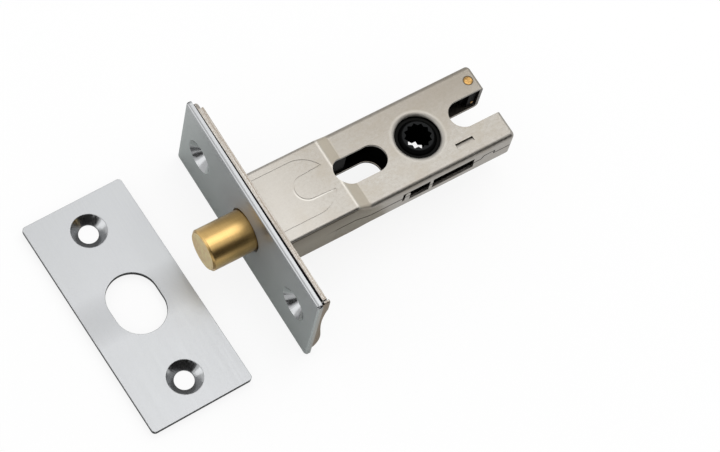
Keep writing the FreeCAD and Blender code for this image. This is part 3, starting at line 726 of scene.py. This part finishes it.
# %% Screens and cards
SCREEN_RADIUS = 0.5
SCREENS = {"screen_right": (-135, -38, 0.58), "screen_camera": (186, 236, 0.35),
           "screen_left": (60, 120, 0.05)}
CARD_LIFT = 0.05
CARDS = {"card_front": ((-12.0, 2.0, -90.0, 90.0), (0.76, 0.81, 0.78, 1)),
         "card_side": ((2.0, 36.0, -70.0, -8.0), (0.76, 0.74, 0.68, 1)),
         "card_strike": ((-44.5, -14.2, -33.0, 33.0), (0.15, 0.15, 0.15, 1))}


def screen_points(start, end, height, count=25):
    """A standing band: part of a circle round the object, from start to end in degrees."""
    turn, rise = np.meshgrid(np.radians(np.linspace(start, end, count)), [0.0, height],
                             indexing="ij")
    return np.stack([SCREEN_RADIUS * np.cos(turn), SCREEN_RADIUS * np.sin(turn),
                     FLOOR_Z + rise], -1)


def card_points(x0, x1, y0, y1):
    """A flat oblong just over the floor, from x0 to x1 and y0 to y1 in millimetres."""
    x, y = np.meshgrid([x0, x1], [y0, y1], indexing="ij")
    return np.stack([x, y, np.full_like(x, CARD_LIFT)], -1) * MM + [0, 0, FLOOR_Z]


dark = Finish("screen").metal((0.01, 0.009, 0.008, 1), 1.0, metallic=0.0)
mirrored = []
for name, (start, end, height) in SCREENS.items():
    mirrored.append(grid_mesh(name, screen_points(start, end, height)))
    mirrored[-1].data.materials.append(dark)
for name, (edges, colour) in CARDS.items():
    mirrored.append(grid_mesh(name, card_points(*edges)))
    mirrored[-1].data.materials.append(Finish(name).metal(colour, 1.0, metallic=0.0))
for piece in mirrored:
    piece.visible_camera = False
    piece.visible_diffuse = False
    piece.visible_transmission = False
    piece.visible_shadow = False
print("screens and cards:", ", ".join(piece.name for piece in mirrored))

# %% [markdown]
# The world is plain white where the camera or a reflection looks at it, and a
# little dimmer for the light it sheds, because the lamps add the rest. The key
# lamp hangs high beyond the case's end, where the strike plate, the case's front
# and the bolt mirror it. The back lamp hangs farther out on the same side, for
# the rear of the case, and the left one stands low in front of the faceplate.
# They are large and oblong, so that the highlights have soft ends.

# %% World and lamps
FILL = 0.80
LAMPS = {"key": ((0.14, 0.06, 0.50), (0.36, 0.24), 2.0),
         "back": ((0.52, 0.24, 0.52), (0.26, 0.26), 2.2),
         "left": ((-0.62, 0.21, 0.22), (0.30, 0.30), 1.0)}


def make_world():
    world = bpy.data.worlds.new("studio")
    scene.world = world
    world.use_nodes = True
    tree = world.node_tree
    paths = tree.nodes.new("ShaderNodeLightPath")
    seen = paths.outputs["Is Camera Ray"]
    for kind in ("Is Glossy Ray", "Is Transmission Ray"):
        either = tree.nodes.new("ShaderNodeMath")
        either.operation = "MAXIMUM"
        tree.links.new(seen, either.inputs[0])
        tree.links.new(paths.outputs[kind], either.inputs[1])
        seen = either.outputs["Value"]
    level = tree.nodes.new("ShaderNodeMapRange")
    level.inputs["To Min"].default_value = FILL
    level.inputs["To Max"].default_value = 1.0
    tree.links.new(seen, level.inputs["Value"])
    tree.links.new(level.outputs["Result"], tree.nodes["Background"].inputs["Strength"])
    tree.nodes["Background"].inputs["Color"].default_value = (1, 1, 1, 1)


def soft_lamp(name, place, size, level):
    """An oblong lamp that looks at the object and shines at so many times white."""
    data = bpy.data.lights.new(name, "AREA")
    data.shape = "RECTANGLE"
    data.size, data.size_y = size
    data.energy = level * math.pi * size[0] * size[1]
    lamp = bpy.data.objects.new(name, data)
    lamp.location = place
    lamp.rotation_euler = Vector(place).to_track_quat("Z", "Y").to_euler()
    scene.collection.objects.link(lamp)
    return lamp


make_world()
for name, (place, size, level) in LAMPS.items():
    soft_lamp(name, place, size, level)
scene.view_settings.view_transform = "Standard"
print("fill", FILL, "lamps", ", ".join(LAMPS))

# %% [markdown]
# The camera stands where the photographer stood. Its place, direction and lean
# were worked out from the straight edges of the two plates and the case. A long
# lens, 140 mm on a full frame, keeps the perspective gentle.

# %% Camera
LENS_MM = 140.0
EYE = Vector((-187.4, -207.3, 577.4)) * MM
LOOK_AZIMUTH = 47.2
LOOK_DOWN = 63.5
LEAN = 17.08


def place_camera():
    a, e = math.radians(LOOK_AZIMUTH), math.radians(LOOK_DOWN)
    forward = Vector((math.sin(a) * math.cos(e), math.cos(a) * math.cos(e), -math.sin(e)))
    level_right = forward.cross(Vector((0, 0, 1))).normalized()
    level_up = level_right.cross(forward)
    lean = math.radians(LEAN)
    right = level_right * math.cos(lean) + level_up * math.sin(lean)
    up = right.cross(forward)
    data = bpy.data.cameras.new("camera")
    data.lens = LENS_MM
    data.sensor_width = 36.0
    data.sensor_fit = "HORIZONTAL"
    data.clip_start = 0.01
    data.clip_end = 20.0
    camera = bpy.data.objects.new("camera", data)
    turn = Matrix((right, up, -forward)).transposed().to_4x4()
    camera.matrix_world = Matrix.Translation(EYE) @ turn
    scene.collection.objects.link(camera)
    scene.camera = camera


place_camera()
bpy.context.view_layer.update()
print("camera at", [round(v / MM, 1) for v in EYE], "mm")

# %% [markdown]
